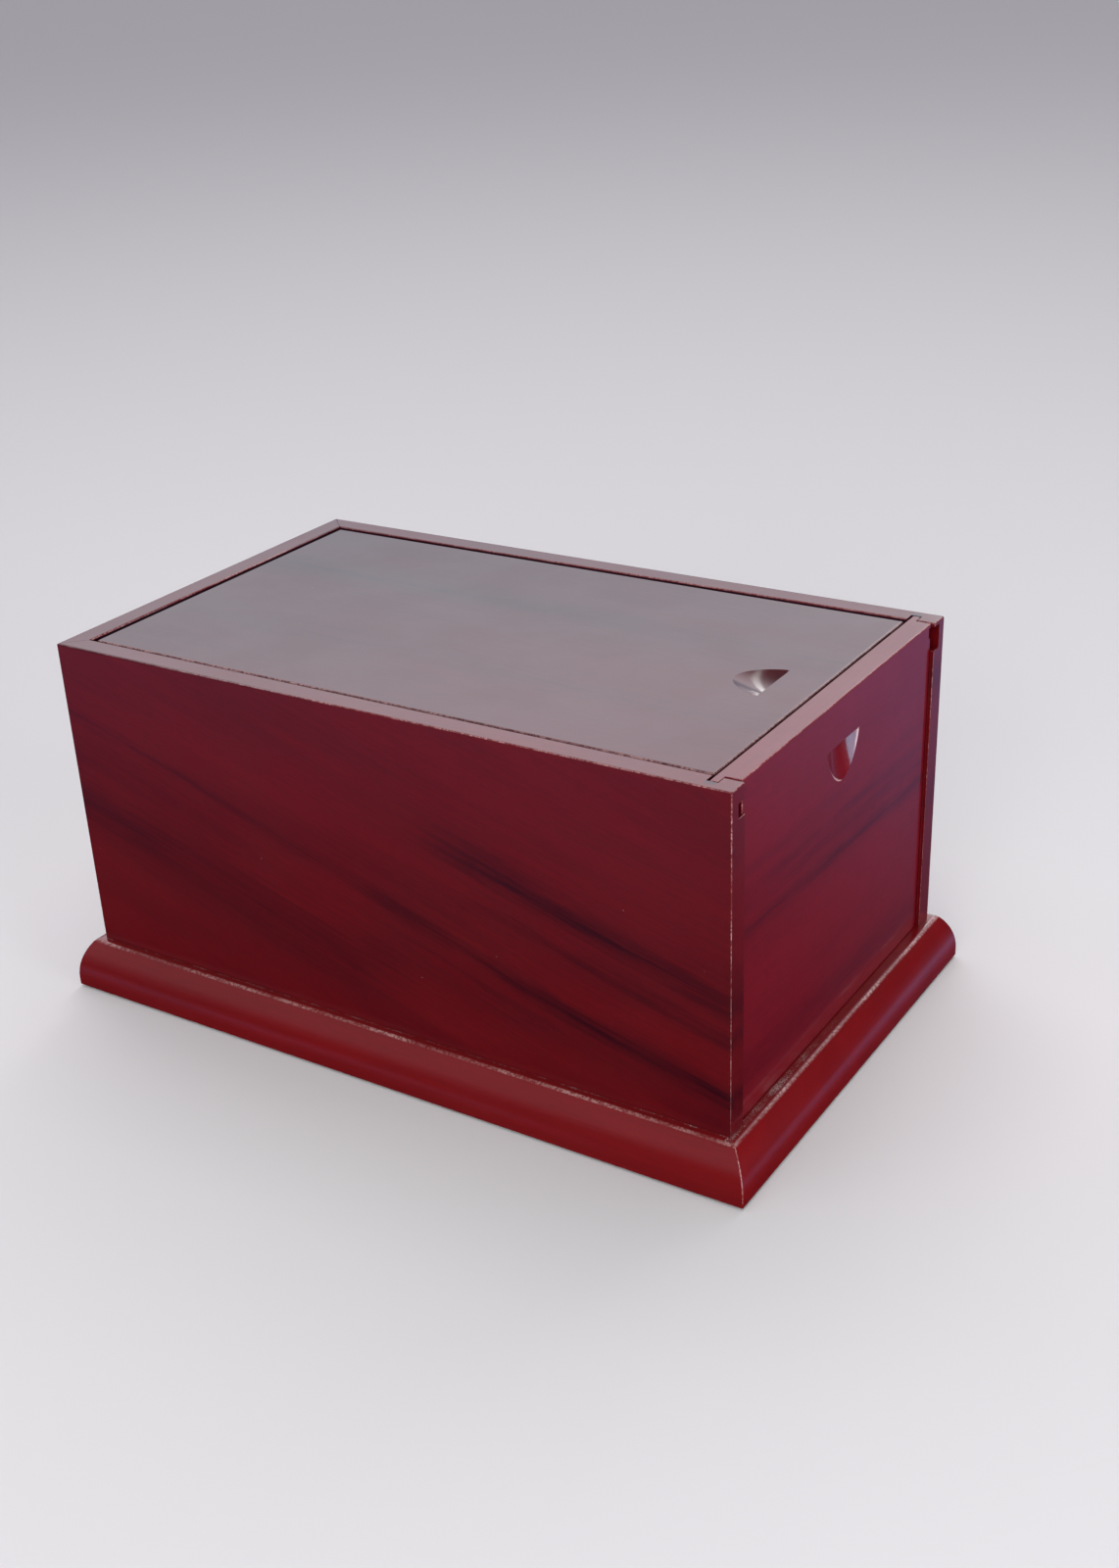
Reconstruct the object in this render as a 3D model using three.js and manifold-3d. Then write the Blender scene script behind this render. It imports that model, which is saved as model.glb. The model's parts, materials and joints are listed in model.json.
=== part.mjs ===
// Wooden puzzle box: a lacquered box whose sliding lid is locked by a rising end panel.
// Push the end panel straight up out of its two upright grooves, and the lid slides out over the low end.
//
// Millimetres, +Z up. The origin is on the table, under the middle of the box.
// +X points to the end with the rising panel, and the near side wall is on -Y.

import * as THREE from 'three';
import { mergeVertices } from 'three/addons/utils/BufferGeometryUtils.js';
import Module from 'manifold-3d';

const wasm = await Module();
wasm.setup();

// ---- driving dimensions -------------------------------------------------------------------------

// Walls, measured over their outer faces.
const bodyLength = 250;
const bodyWidth = 150;
const wallHeight = 111.9;
const wallThickness = 7.8;
const glueLine = 0.1;             // film of glue in every glued joint

// Base board: a flat ledge round the walls, then a rounded-over edge down to a short upright band.
const baseThickness = 17.4;
const baseOverhang = 8.3;
const ledgeWidth = 2.75;
const edgeBand = 3;               // upright band under the rounding
const edgeEasing = 0.6;           // small radius where the board meets the table
const roundSteps = 12;

// Felt underlay.
const feltThickness = 0.5;
const feltInset = 4.5;            // from the edge of the base board
const feltCorner = 5;

// Groove for the lid, cut in both side walls and the closed end, and open through the lips.
const grooveDepth = 3.9;
const lidGrooveTop = 5;           // below the rim
const lidGrooveHeight = 4.5;

// Upright grooves for the rising panel. The wood left in front of each one is the lip.
const lipThickness = 6.15;
const uprightGrooveWidth = 3.7;

// Lid.
const lidRecess = 0.4;            // its top face, below the rim
const lidFieldGap = 1.3;          // between its raised field and the walls
const lidToPanelGap = 1.2;
const lidEndClearance = 0.6;      // behind the rear tongue
const tongueTipClearance = 0.4;   // sideways, for the lid and the panel alike
const tongueFaceClearance = 0.3;  // above and below the lid's tongue

// Rising end panel.
const panelThickness = 7.8;
const panelTongue = 2.6;
const panelFrontClearance = 0.25; // between its tongue and the lip
const panelEdgeGap = 0.6;         // between its narrow front part and the lips
const panelFootGap = 0.3;

// Open notch at the top of the far lip, with a nick in the panel's edge beside it.
const notchTop = 1.2;             // below the rim
const nickWidth = 1.6;
const nickDepth = 1.2;

// Thumb scoops: a straight wall across, and a hollow that rises away from it to the surface.
const scoopHalfWidth = 11.3;
const scoopReach = 13;
const scoopDepth = 3.3;
const scoopCurve = 1.4;           // exponent of the hollow's rise
const lidScoopSetback = 14.3;     // straight wall, behind the lid's front edge
const panelScoopDrop = 14.6;      // straight wall, below the rim

// Countersunk screws, up through the base board into the side walls.
const screwLength = 32;
const shankRadius = 1.6;
const headRadius = 3.3;
const headRim = 0.4;
const screwPoint = 4;
const screwSink = 0.3;            // head, below the underside of the board
const screwClearance = 0.3;
const screwInset = 30;            // outer screws, from the ends of the wall
const screwsPerSide = 3;
const driverSlot = { length: 3.6, width: 0.8, depth: 1.4 };

// ---- levels and faces that follow from them -----------------------------------------------------

const baseBottom = feltThickness + glueLine;
const baseTop = baseBottom + baseThickness;
const wallFoot = baseTop + glueLine;
const rim = wallFoot + wallHeight;

const halfLength = bodyLength / 2;
const halfWidth = bodyWidth / 2;
const innerHalfWidth = halfWidth - wallThickness;
const closedInnerX = -halfLength + wallThickness;
const grooveHalfWidth = innerHalfWidth + grooveDepth;

const lipBackX = halfLength - lipThickness;
const uprightBackX = lipBackX - uprightGrooveWidth;
const panelTongueX = lipBackX - panelFrontClearance;
const panelInnerX = panelTongueX - panelTongue;
const panelFrontX = panelInnerX + panelThickness;
const panelFrontHalfWidth = innerHalfWidth - panelEdgeGap;
const tongueHalfWidth = grooveHalfWidth - tongueTipClearance;

const lidFrontX = panelInnerX - lidToPanelGap;
const lidTopZ = rim - lidRecess;
const lidTongueTopZ = rim - lidGrooveTop - tongueFaceClearance;
const lidBottomZ = rim - lidGrooveTop - lidGrooveHeight + tongueFaceClearance;

const beyond = 1;                 // how far a cutter runs past the face it opens
const turnedSides = 24;

// ---- solids -------------------------------------------------------------------------------------

// A closed three.js geometry as a manifold solid.
function solid(geometry) {
  const bare = geometry.clone();
  bare.deleteAttribute('normal');
  bare.deleteAttribute('uv');
  const merged = mergeVertices(bare);
  return new wasm.Manifold(new wasm.Mesh({
    numProp: 3,
    vertProperties: new Float32Array(merged.attributes.position.array),
    triVerts: new Uint32Array(merged.index.array),
  }));
}

// A manifold solid as a three.js geometry.
function geometryOf(manifold) {
  const mesh = manifold.getMesh();
  const geometry = new THREE.BufferGeometry();
  geometry.setAttribute('position', new THREE.BufferAttribute(new Float32Array(mesh.vertProperties), 3));
  geometry.setIndex(new THREE.BufferAttribute(new Uint32Array(mesh.triVerts), 1));
  geometry.computeVertexNormals();
  return geometry;
}

// What is left of a blank after each cutter has been taken out of it.
function cut(blank, cutters) {
  return geometryOf(cutters.reduce((left, cutter) => left.subtract(solid(cutter)), solid(blank)));
}

// A block between two opposite corners, given in any order.
function block(cornerA, cornerB) {
  const a = new THREE.Vector3(...cornerA);
  const b = new THREE.Vector3(...cornerB);
  const low = a.clone().min(b);
  const high = a.clone().max(b);
  const size = high.clone().sub(low);
  const middle = low.clone().add(high).multiplyScalar(0.5);
  return new THREE.BoxGeometry(size.x, size.y, size.z).translate(middle.x, middle.y, middle.z);
}

// A plan outline drawn up between two levels.
function upright(outline, bottom, top) {
  const shape = new THREE.Shape(outline.map(([x, y]) => new THREE.Vector2(x, y)));
  const geometry = new THREE.ExtrudeGeometry(shape, { depth: top - bottom, bevelEnabled: false });
  return geometry.translate(0, 0, bottom);
}

// A skin over convex sections that follow one another, with flat ends. Each section has the same
// number of points, anticlockwise as seen from the last section.
function loft(sections) {
  const count = sections[0].length;
  const index = [];
  for (let row = 0; row < sections.length - 1; row += 1) {
    for (let k = 0; k < count; k += 1) {
      const here = row * count + k;
      const next = row * count + (k + 1) % count;
      index.push(here, next, next + count, here, next + count, here + count);
    }
  }
  const last = (sections.length - 1) * count;
  for (let k = 1; k < count - 1; k += 1) {
    index.push(0, k + 1, k, last, last + k, last + k + 1);
  }
  const geometry = new THREE.BufferGeometry();
  geometry.setAttribute('position', new THREE.Float32BufferAttribute(sections.flat(2), 3));
  geometry.setIndex(index);
  geometry.computeVertexNormals();
  return geometry;
}

// The wood a thumb scoop takes out. The face is the plane z = 0, the straight wall is the plane x = 0,
// and the hollow runs towards +x. At a share s of its reach, and a share t of its width there,
// its half width is halfWidth * sqrt(1 - s^curve) and its depth is depth * (1 - s^curve) * (1 - t^2).
function scoopCutter() {
  const rows = 14;
  const columns = 12;
  const sections = [];
  for (let row = 0; row <= rows; row += 1) {
    const share = Math.min(Math.sin((row / rows) * Math.PI / 2), 0.999);
    const rise = 1 - share ** scoopCurve;
    const half = scoopHalfWidth * Math.sqrt(rise);
    const section = [];
    for (let column = 0; column <= columns; column += 1) {
      const across = -1 + (2 * column) / columns;
      section.push([scoopReach * share, half * across, -scoopDepth * rise * (1 - across ** 2)]);
    }
    section.push([scoopReach * share, half, beyond], [scoopReach * share, -half, beyond]);
    sections.push(section);
  }
  return loft(sections);
}

// ---- boards -------------------------------------------------------------------------------------

// Outline of the base board's edge, as overhang past the walls and height above the underside:
// an eased lower corner, the upright band, and an arc that starts upright and ends at the ledge.
function edgeProfile() {
  const profile = [];
  const easingSteps = 3;
  for (let step = 0; step <= easingSteps; step += 1) {
    const angle = (step / easingSteps) * Math.PI / 2;
    profile.push([baseOverhang - edgeEasing * (1 - Math.sin(angle)), edgeEasing * (1 - Math.cos(angle))]);
  }
  const run = baseOverhang - ledgeWidth;
  const rise = baseThickness - edgeBand;
  const radius = (run ** 2 + rise ** 2) / (2 * run);
  const sweep = Math.asin(rise / radius);
  for (let step = 0; step <= roundSteps; step += 1) {
    const angle = (step / roundSteps) * sweep;
    profile.push([
      baseOverhang - radius * (1 - Math.cos(angle)),
      edgeBand + radius * Math.sin(angle),
    ]);
  }
  return profile;
}

function screwPlaces() {
  const places = [];
  const reach = halfLength - screwInset;
  for (const side of [-1, 1]) {
    for (let k = 0; k < screwsPerSide; k += 1) {
      const x = -reach + (2 * reach * k) / (screwsPerSide - 1);
      places.push([x, side * (halfWidth - wallThickness / 2)]);
    }
  }
  return places;
}

// A screw's outline of revolution, swollen by a clearance, from the underside of its head upwards.
function screwProfile(clearance) {
  const head = headRadius + clearance;
  const shank = shankRadius + clearance;
  const taper = headRadius - shankRadius;
  return [
    [0, -clearance],
    [head, -clearance],
    [head, headRim],
    [shank, headRim + taper],
    [shank, screwLength - screwPoint + clearance],
    [0, screwLength + clearance],
  ];
}

function turned(profile) {
  const points = profile.map(([radius, height]) => new THREE.Vector2(radius, height));
  return new THREE.LatheGeometry(points, turnedSides).rotateX(Math.PI / 2);
}

// The hole for one screw, in a board whose underside is the plane z = 0.
function screwHole([x, y], undersideToHead) {
  const profile = screwProfile(screwClearance);
  profile[0][1] = Math.min(profile[0][1], -undersideToHead - beyond);
  profile[1][1] = profile[0][1];
  return turned(profile).translate(x, y, undersideToHead);
}

function baseBoard() {
  const sections = edgeProfile().map(([overhang, height]) => {
    const x = halfLength + overhang;
    const y = halfWidth + overhang;
    return [[-x, -y, height], [x, -y, height], [x, y, height], [-x, y, height]];
  });
  return cut(loft(sections), screwPlaces().map((place) => screwHole(place, screwSink)));
}

// Walls stand on the plane z = 0 in their own group, so the rim is at wallHeight there.
const lidGroove = { bottom: wallHeight - lidGrooveTop - lidGrooveHeight, top: wallHeight - lidGrooveTop };

// A side wall: mitred at the closed end, square at the open end, with both grooves cut into its
// inner face and a pilot hole for each screw. side is -1 for the near wall and 1 for the far one.
function sideWall(side, extraCutters) {
  const outer = side * halfWidth;
  const inner = side * innerHalfWidth;
  const deep = side * grooveHalfWidth;
  const past = side * (innerHalfWidth - beyond);
  const mitreGap = glueLine * Math.SQRT2;
  const blank = upright([
    [-halfLength + mitreGap, outer],
    [halfLength, outer],
    [halfLength, inner],
    [closedInnerX + mitreGap, inner],
  ], 0, wallHeight);
  const cutters = [
    block([-halfLength - beyond, past, lidGroove.bottom], [halfLength + beyond, deep, lidGroove.top]),
    block([uprightBackX, past, -beyond], [lipBackX, deep, wallHeight + beyond]),
  ];
  const headBelowFoot = baseThickness + glueLine - screwSink;
  for (const place of screwPlaces()) {
    if (Math.sign(place[1]) === side) {
      cutters.push(screwHole(place, -headBelowFoot));
    }
  }
  return cut(blank, [...cutters, ...extraCutters]);
}

// The notch takes the inner part of the far lip away, from the lid's groove nearly up to the rim.
function farLipNotch() {
  return block(
    [lipBackX - beyond, innerHalfWidth - beyond, lidGroove.bottom],
    [halfLength + beyond, grooveHalfWidth, wallHeight - notchTop],
  );
}

function closedEndWall() {
  const blank = upright([
    [-halfLength, -halfWidth],
    [closedInnerX, -innerHalfWidth],
    [closedInnerX, innerHalfWidth],
    [-halfLength, halfWidth],
  ], 0, wallHeight);
  const grooveX = closedInnerX - grooveDepth;
  const groove = block(
    [grooveX, -halfWidth, lidGroove.bottom],
    [closedInnerX + beyond, halfWidth, lidGroove.top],
  );
  return cut(blank, [groove]);
}

// The rising panel: a T in plan, its wide back part running in the upright grooves.
function endPanel() {
  const foot = wallFoot - glueLine + panelFootGap;
  const blank = upright([
    [panelInnerX, -tongueHalfWidth],
    [panelTongueX, -tongueHalfWidth],
    [panelTongueX, -panelFrontHalfWidth],
    [panelFrontX, -panelFrontHalfWidth],
    [panelFrontX, panelFrontHalfWidth],
    [panelTongueX, panelFrontHalfWidth],
    [panelTongueX, tongueHalfWidth],
    [panelInnerX, tongueHalfWidth],
  ], foot, rim);
  const scoop = scoopCutter().rotateY(Math.PI / 2).translate(panelFrontX, 0, rim - panelScoopDrop);
  const nick = block(
    [panelFrontX - nickDepth, panelFrontHalfWidth - nickWidth, rim - lidGrooveTop],
    [panelFrontX + beyond, panelFrontHalfWidth + beyond, rim - notchTop],
  );
  return cut(blank, [scoop, nick]);
}

// The lid: a raised field on a wider plate whose edges are the tongues on three sides.
function lid() {
  const field = block(
    [closedInnerX + lidFieldGap, -(innerHalfWidth - lidFieldGap), lidBottomZ],
    [lidFrontX, innerHalfWidth - lidFieldGap, lidTopZ],
  );
  const plate = block(
    [closedInnerX - grooveDepth + lidEndClearance, -tongueHalfWidth, lidBottomZ],
    [lidFrontX, tongueHalfWidth, lidTongueTopZ],
  );
  const scoop = scoopCutter().rotateZ(Math.PI).translate(lidFrontX - lidScoopSetback, 0, lidTopZ);
  return geometryOf(solid(plate).add(solid(field)).subtract(solid(scoop)));
}

// ---- fittings -----------------------------------------------------------------------------------

function screw() {
  const middle = driverSlot.length / 2;
  const half = driverSlot.width / 2;
  return cut(turned(screwProfile(0)), [
    block([-middle, -half, -beyond], [middle, half, driverSlot.depth]),
    block([-half, -middle, -beyond], [half, middle, driverSlot.depth]),
  ]);
}

function feltSheet() {
  const x = halfLength + baseOverhang - feltInset;
  const y = halfWidth + baseOverhang - feltInset;
  const shape = new THREE.Shape();
  shape.absarc(x - feltCorner, y - feltCorner, feltCorner, 0, Math.PI / 2);
  shape.absarc(-x + feltCorner, y - feltCorner, feltCorner, Math.PI / 2, Math.PI);
  shape.absarc(-x + feltCorner, -y + feltCorner, feltCorner, Math.PI, Math.PI * 1.5);
  shape.absarc(x - feltCorner, -y + feltCorner, feltCorner, Math.PI * 1.5, Math.PI * 2);
  return new THREE.ExtrudeGeometry(shape, { depth: feltThickness, bevelEnabled: false, curveSegments: 8 });
}

// ---- assembly -----------------------------------------------------------------------------------

const lacquer = { roughness: 0.32, metalness: 0 };

function piece(name, geometry, look) {
  const mesh = new THREE.Mesh(geometry, new THREE.MeshStandardMaterial(look));
  mesh.name = name;
  return mesh;
}

const carcass = new THREE.Group();
carcass.position.z = wallFoot;
carcass.add(
  piece('near_side_wall', sideWall(-1, []), { color: 0x5c1a1f, ...lacquer }),
  piece('far_side_wall', sideWall(1, [farLipNotch()]), { color: 0x5c1a1f, ...lacquer }),
  piece('closed_end_wall', closedEndWall(), { color: 0x571a20, ...lacquer }),
);

const base = new THREE.Group();
base.position.z = baseBottom;
base.add(piece('base_board', baseBoard(), { color: 0x7a1a1c, ...lacquer }));
screwPlaces().forEach(([x, y], k) => {
  const mesh = piece(`screw_${k + 1}`, screw(), { color: 0xb9b4a6, roughness: 0.35, metalness: 1 });
  mesh.position.set(x, y, screwSink);
  base.add(mesh);
});

const box = new THREE.Group();
box.add(
  piece('felt_sheet', feltSheet(), { color: 0x1d2a22, roughness: 0.95, metalness: 0 }),
  base,
  carcass,
  piece('end_panel', endPanel(), { color: 0x63202e, ...lacquer }),
  piece('lid', lid(), { color: 0x5f2a35, ...lacquer }),
);

export default box;
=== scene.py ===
"""Looks of a lacquered wooden puzzle box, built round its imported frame.

Lengths in the classes are millimetres in the box's own frame: +Z is up from the table, +X points to the
end with the rising board, and the near side board is on -Y. They become metres when a mesh is made.
"""

import json
import logging
import math
from collections.abc import Sequence
from dataclasses import dataclass, field, replace
from enum import Enum
from functools import reduce

import bmesh
import bpy
import numpy as np
from mathutils import Euler, Matrix, Vector

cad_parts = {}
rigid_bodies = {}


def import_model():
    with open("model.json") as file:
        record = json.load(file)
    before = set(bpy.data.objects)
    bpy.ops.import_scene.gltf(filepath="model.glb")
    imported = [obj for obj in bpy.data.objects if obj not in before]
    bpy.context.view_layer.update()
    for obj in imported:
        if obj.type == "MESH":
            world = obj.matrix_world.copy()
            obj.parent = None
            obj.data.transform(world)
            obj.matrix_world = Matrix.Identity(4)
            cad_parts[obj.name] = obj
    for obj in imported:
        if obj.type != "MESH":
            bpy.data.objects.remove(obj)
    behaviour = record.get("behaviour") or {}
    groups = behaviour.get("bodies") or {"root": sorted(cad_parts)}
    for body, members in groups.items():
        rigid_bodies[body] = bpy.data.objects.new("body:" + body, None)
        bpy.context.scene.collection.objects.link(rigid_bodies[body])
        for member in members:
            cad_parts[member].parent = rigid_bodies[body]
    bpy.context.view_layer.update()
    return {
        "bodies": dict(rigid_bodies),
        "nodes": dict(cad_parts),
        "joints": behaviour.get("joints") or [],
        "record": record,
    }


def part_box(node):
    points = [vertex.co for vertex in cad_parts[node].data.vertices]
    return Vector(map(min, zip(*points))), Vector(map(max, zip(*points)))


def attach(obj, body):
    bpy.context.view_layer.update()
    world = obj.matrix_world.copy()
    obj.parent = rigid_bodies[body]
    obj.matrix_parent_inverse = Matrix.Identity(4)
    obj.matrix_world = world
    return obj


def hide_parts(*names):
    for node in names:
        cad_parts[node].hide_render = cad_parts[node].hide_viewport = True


LOG = logging.getLogger("puzzle_box")
MM = 0.001

STEPS = 6                                           # facets round an eased corner
QUARTER = np.linspace(0.0, math.pi / 2, STEPS + 1)  # the angles of its points
EARLY, LATE = 1 - np.sin(QUARTER), 1 - np.cos(QUARTER)  # how far in they are from its two sides
CREST = np.sin(2 * QUARTER)                         # 1 in its middle, 0 at its ends

Colour = tuple[float, float, float]
Socket = bpy.types.NodeSocket

GROOVE_PAINTED_SHADE: Colour = (0.030, 0.007, 0.016)     # painted shade that darkens grooves and gaps
BARE_EDGE_AND_GLINT: Colour = (0.55, 0.31, 0.30)      # an arris that is rubbed through, and the painted highlights on a scoop's edge
SPECK: Colour = (0.45, 0.36, 0.36)
DUST: Colour = (0.55, 0.50, 0.50)


class Body(Enum):
    """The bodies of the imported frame."""

    CASE = "case"
    END_PANEL = "end_panel"
    LID = "lid"


# ---- outlines and solids ----


@dataclass(frozen=True)
class Outline:
    """A closed outline with eased corners, anticlockwise, as whole arrays.

    Attributes:
        points: (n, 2) places along the outline.
        outward: (n, 2) outward direction at each point.
        ease: (n,) the most that the point may be pulled in where the board's end is eased.
        arris: (n,) 1 in the middle of an outer corner's arc, 0 at its ends and on flat sides.
        corner: (n,) number of the corner that each point belongs to.
    """

    points: np.ndarray
    outward: np.ndarray
    ease: np.ndarray
    arris: np.ndarray
    corner: np.ndarray


def eased(corners: Sequence[tuple[float, float, float]]) -> Outline:
    """Rounds the corners of an outline whose sides meet at right angles.

    With a and b the directions from a corner to the one before and the one after, and r its radius, the
    arc is corner + r (a + b) - r (b cos t + a sin t), as t goes from 0 to a quarter turn. A corner that
    lies on a straight side is only a point there.

    Args:
        corners: the corners, anticlockwise, each with its radius, which is 0 if it is left sharp or is
            only a point on a side.

    Returns:
        The outline.
    """
    at, radius = np.split(np.asarray(corners, float), [2], 1)
    before = np.roll(at, 1, 0) - at
    after = np.roll(at, -1, 0) - at
    before = (before / np.linalg.norm(before, axis=1, keepdims=True))[:, None, :]
    after = (after / np.linalg.norm(after, axis=1, keepdims=True))[:, None, :]
    turn = QUARTER[None, :, None]
    spoke = after * np.cos(turn) + before * np.sin(turn)
    points = at[:, None, :] + radius[:, :, None] * (before + after - spoke)
    bend = before[..., 1] * after[..., 0] - before[..., 0] * after[..., 1]
    square = np.stack([after[..., 1], -after[..., 0]], -1)
    straight = np.abs(bend) < 1e-6
    outward = np.where(straight[..., None], square, -np.sign(bend)[..., None] * spoke)
    arris = np.clip(np.sign(bend), 0, 1) * CREST[None]
    ease = np.where(straight, np.inf, radius) + 0 * turn[..., 0]
    corner = np.arange(len(at))[:, None] + 0 * np.arange(STEPS + 1)[None, :]
    keep = (radius > 0) | (np.arange(STEPS + 1)[None, :] == 0)
    return Outline(points[keep], outward[keep], ease[keep], arris[keep], corner[keep])


def rectangle(low: np.ndarray, high: np.ndarray, radius: float) -> Outline:
    """Gives a rectangle between two corners, with all its corners rounded alike."""
    return eased([(low[0], low[1], radius), (high[0], low[1], radius), (high[0], high[1], radius),
                  (low[0], high[1], radius)])


@dataclass(frozen=True)
class Run:
    """An outline carried along a straight path, with both ends eased.

    Attributes:
        section: (m, n, 2) the outline at each station.
        along: (m, n) how far along the path each point is.
        arris: (m, n) 1 on the crest of an eased edge, -1 where shade is painted into a groove or gap.
        curved: (m - 1, n) whether each facet is part of an eased edge.
    """

    section: np.ndarray
    along: np.ndarray
    arris: np.ndarray
    curved: np.ndarray

    def marked(self, painted_shade: np.ndarray) -> "Run":
        """Gives the same run with the chosen points marked -1, where shade is painted into a groove or gap.
        """
        return replace(self, arris=np.where(painted_shade, -1.0, self.arris))


def carried(outline: Outline, start: float, end: float, eases: tuple[float, float],
            between: Sequence[float] = ()) -> Run:
    """Carries an outline from start to end.

    At an eased end of radius e, the outline is pulled in by e (1 - cos t) at e (1 - sin t) from the end
    face, as t goes from a quarter turn on the end face to 0.

    Args:
        outline: the outline to carry.
        start: where the first end face is.
        end: where the last end face is.
        eases: radius at the first and at the last end, 0 for a sharp end.
        between: further stations, in order, where the outline is at full size.

    Returns:
        The run, with stations in order.
    """
    first = np.minimum(outline.ease, eases[0])[None, :]
    last = np.minimum(outline.ease, eases[1])[None, :]
    middle = np.asarray(between, float)[:, None] + 0 * first
    early, late = EARLY[:, None], LATE[:, None]
    pulled = np.concatenate([first * late[::-1], 0 * middle, last * late])
    along = np.concatenate([start + first * early[::-1], middle, end - last * early])
    crest = np.concatenate([CREST, np.zeros(len(middle)), CREST])[:, None]
    section = outline.points[None] - outline.outward[None] * pulled[..., None]
    rounded = np.zeros((len(along) - 1, 1), bool)
    rounded[:STEPS] = eases[0] > 0
    rounded[-STEPS:] = eases[1] > 0
    same = outline.corner == np.roll(outline.corner, -1)
    return Run(section, along, np.maximum(crest, outline.arris[None]), rounded | same[None])


@dataclass
class Solid:
    """One closed solid, gathered from surfaces and then made a mesh."""

    points: list[np.ndarray] = field(default_factory=list)
    arris: list[np.ndarray] = field(default_factory=list)
    faces: list[list[int]] = field(default_factory=list)
    curved: list[bool] = field(default_factory=list)
    count: int = 0

    def place(self, points: np.ndarray, arris: np.ndarray | float = 0.0) -> np.ndarray:
        """Adds points.

        Args:
            points: (..., 3) places in millimetres.
            arris: 1 where a point is on the crest of an eased edge, -1 where shade is painted into a groove
                or gap.

        Returns:
            The number of each point, in the same shape.
        """
        flat = points.reshape(-1, 3)
        self.points.append(flat)
        self.arris.append(np.broadcast_to(arris, points.shape[:-1]).reshape(-1))
        numbers = self.count + np.arange(len(flat)).reshape(points.shape[:-1])
        self.count += len(flat)
        return numbers

    def grid(self, points: np.ndarray, arris: np.ndarray | float = 0.0, curved: np.ndarray | bool = True,
             closed: bool = False, keep: np.ndarray | bool = True) -> None:
        """Adds a surface of four-sided facets on a grid of points.

        Args:
            points: (m, n, 3) places in millimetres.
            arris: 1 where a point is on the crest of an eased edge.
            curved: whether each facet is shaded smooth.
            closed: whether the last column joins the first.
            keep: whether each facet is made at all.
        """
        at = self.place(points, arris)
        if closed:
            at = np.concatenate([at, at[:, :1]], 1)
        quads = np.stack([at[:-1, :-1], at[1:, :-1], at[1:, 1:], at[:-1, 1:]], -1)
        shape = quads.shape[:2]
        chosen = np.broadcast_to(keep, shape)
        self.faces += quads[chosen].tolist()
        self.curved += np.broadcast_to(curved, shape)[chosen].tolist()

    def plane(self, loop: np.ndarray) -> None:
        """Adds one flat face from its (n, 3) outline."""
        self.faces.append(self.place(loop).tolist())
        self.curved.append(False)

    def run(self, run: Run, points: np.ndarray, keep: np.ndarray | bool = True) -> None:
        """Adds a carried outline with a flat face on each end.

        Args:
            run: what says which facets are curved.
            points: (m, n, 3) its points in space.
            keep: whether each facet is made at all.
        """
        self.grid(points, run.arris, run.curved, closed=True, keep=keep)
        self.plane(points[0])
        self.plane(points[-1])

    def made(self, name: str, body: Body, slot: str, finish: "Finish", node: str) -> bpy.types.Object:
        """Makes the piece: points that meet are merged, and all faces point outwards. It is dressed, joined
        to its body, and stands for its node.

        Args:
            name: the piece's name.
            body: the body that it rides on.
            slot: the record's material slot; not used.
            finish: its finish.
            node: the frame's node that it replaces.

        Returns:
            The piece, at the origin, with its place in its mesh.
        """
        mesh = bpy.data.meshes.new(name)
        mesh.from_pydata((np.concatenate(self.points) * MM).tolist(), [], self.faces)
        # The arris attribute holds the wear crest, past 1 a painted highlight on a scoop's edge, and -1
        # painted groove shade.
        crest = mesh.attributes.new("arris", "FLOAT", "CORNER")
        crest.data.foreach_set("value", np.concatenate(self.arris)[np.concatenate(self.faces)])
        mesh.polygons.foreach_set("use_smooth", self.curved)
        work = bmesh.new()
        work.from_mesh(mesh)
        bmesh.ops.remove_doubles(work, verts=work.verts, dist=3e-6)
        bmesh.ops.recalc_face_normals(work, faces=work.faces)
        open_edges = sum(not edge.is_manifold for edge in work.edges)
        work.to_mesh(mesh)
        work.free()
        mesh.validate()
        mesh.materials.append(finish.made())
        piece = linked(name, mesh)
        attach(piece, body.value)
        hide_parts(node)
        LOG.info("%s: %d faces, %d open edges, rides on %s, stands for %s", name, len(mesh.polygons),
                 open_edges, body.value, node)
        return piece


def linked(name: str, data: bpy.types.ID) -> bpy.types.Object:
    """Adds an object to the scene, at the origin."""
    made = bpy.data.objects.new(name, data)
    bpy.context.scene.collection.objects.link(made)
    return made


def in_space(first: np.ndarray, second: np.ndarray, third: np.ndarray) -> np.ndarray:
    """Stacks three arrays of coordinates into (..., 3) points."""
    return np.stack(np.broadcast_arrays(first, second, third), -1)


# ---- shader graphs ----


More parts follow.
